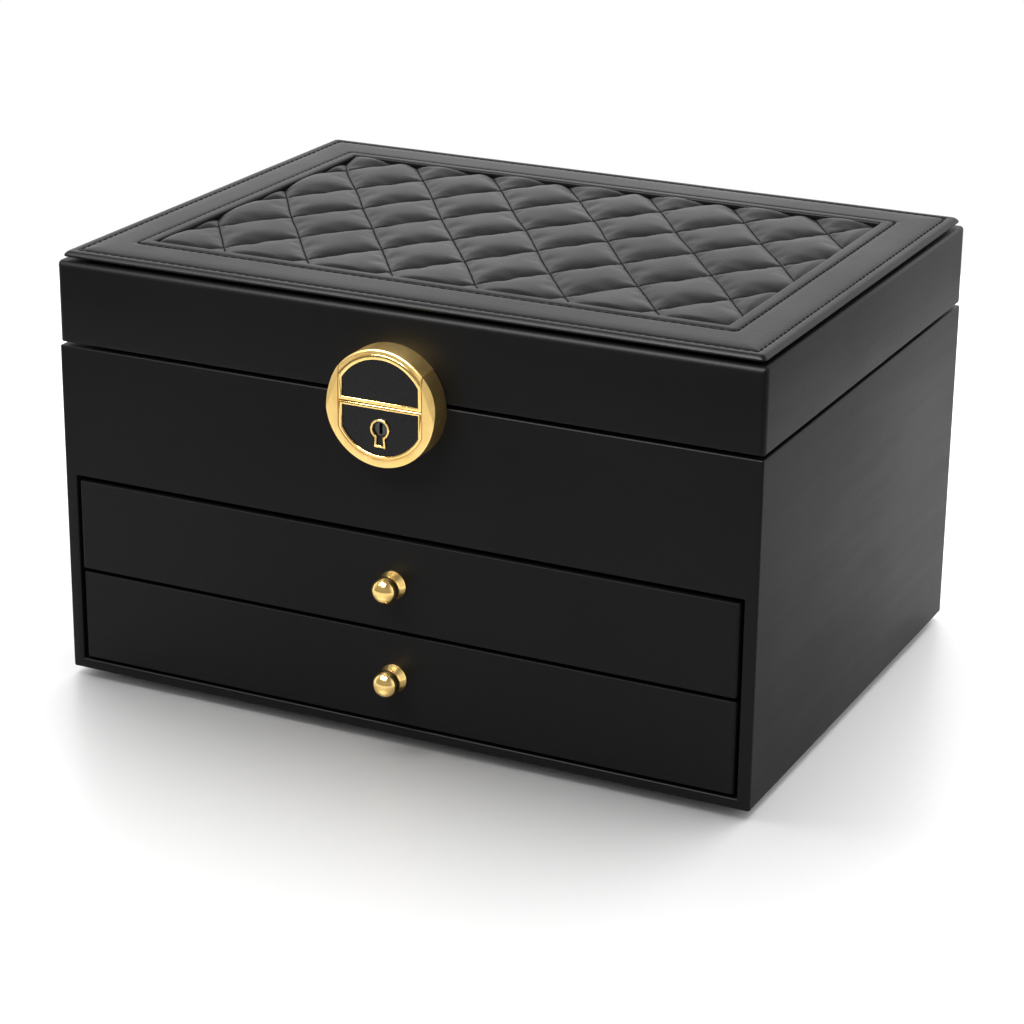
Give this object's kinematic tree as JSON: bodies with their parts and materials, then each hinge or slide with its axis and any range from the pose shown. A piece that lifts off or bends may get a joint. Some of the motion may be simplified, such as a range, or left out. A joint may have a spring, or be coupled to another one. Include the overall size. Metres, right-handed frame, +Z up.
{
  "type": "leather jewellery case",
  "caption": "Black leather-covered jewellery case with a hinged quilted lid, mirror, ring rolls, drawers with ball knobs and a round clasp lock.",
  "frame": {"origin": "on the surface the case stands on, under the middle of the whole object's outer box, knobs and hinges included", "axes": "+X to the right along the front, +Y from the front to the back, +Z up"},
  "size_m": [0.26, 0.2086, 0.1569],
  "materials": {
    "leather": "smooth satin leather, near black",
    "velvet": "short-pile velvet, charcoal",
    "board": "fibreboard faced with black paper",
    "gold": "polished, gold coloured plate",
    "enamel": "glossy black enamel",
    "steel": "plain zinc-plated steel",
    "rubber": "matt black rubber",
    "mirror": "clear silvered glass"
  },
  "bodies": {
    "case": {"body_cover": "leather", "left_board": "board", "right_board": "board", "front_board": "board", "back_board": "board", "base_board": "board", "shelf_board": "board", "dust_shelf": "board", "feet": "rubber", "compartment_lining": "velvet", "divider_long": "velvet", "divider_cross": "velvet", "divider_short": "velvet", "ring_rolls": "velvet", "lock_body": "gold", "lock_back_plate": "steel", "lock_enamel": "enamel", "keyhole_rim": "gold", "lock_screws": "steel", "hinge_body_leaves": "gold", "hinge_pins": "steel", "hinge_body_screws": "gold"},
    "lid": {"lid_cover": "leather", "lid_left_board": "board", "lid_right_board": "board", "lid_front_board": "board", "lid_back_board": "board", "lid_top_board": "board", "top_frame": "leather", "quilted_pad": "leather", "lid_lining": "velvet", "mirror_frame": "velvet", "mirror_glass": "mirror", "strike": "gold", "strike_enamel": "enamel", "strike_tongue": "steel", "strike_screws": "steel", "hinge_lid_leaves": "gold", "hinge_lid_screws": "gold"},
    "upper_drawer": {"upper_drawer_front": "leather", "upper_drawer_left": "board", "upper_drawer_right": "board", "upper_drawer_back": "board", "upper_drawer_bottom": "board", "upper_drawer_lining": "velvet", "upper_drawer_dividers": "velvet", "upper_drawer_knob": "gold", "upper_knob_screw": "steel"},
    "lower_drawer": {"lower_drawer_front": "leather", "lower_drawer_left": "board", "lower_drawer_right": "board", "lower_drawer_back": "board", "lower_drawer_bottom": "board", "lower_drawer_lining": "velvet", "lower_drawer_divider": "velvet", "lower_drawer_knob": "gold", "lower_knob_screw": "steel"},
    "lock_plug": {"lock_plug": "steel"},
    "lock_bolt": {"lock_bolt": "steel"}
  },
  "joints": [
    {"name": "lid_hinge", "type": "hinge", "parent": "case", "child": "lid", "pos_m": [0, 0.1011, 0.1236], "axis": [-1, 0, 0], "range_deg": [0, 95]},
    {"name": "upper_drawer_slide", "type": "slide", "parent": "case", "child": "upper_drawer", "axis": [0, -1, 0], "range_m": [0, 0.13]},
    {"name": "lower_drawer_slide", "type": "slide", "parent": "case", "child": "lower_drawer", "axis": [0, -1, 0], "range_m": [0, 0.13]},
    {"name": "lock_turn", "type": "hinge", "parent": "case", "child": "lock_plug", "pos_m": [0, -0.0992, 0.1155], "axis": [0, 1, 0], "range_deg": [0, 90]},
    {"name": "bolt_slide", "type": "slide", "parent": "case", "child": "lock_bolt", "axis": [-1, 0, 0], "range_m": [0, 0.00312]}
  ],
  "couplings": [
    {"joint": "bolt_slide", "follows": "lock_turn", "m_per_rad": 0.00198}
  ]
}
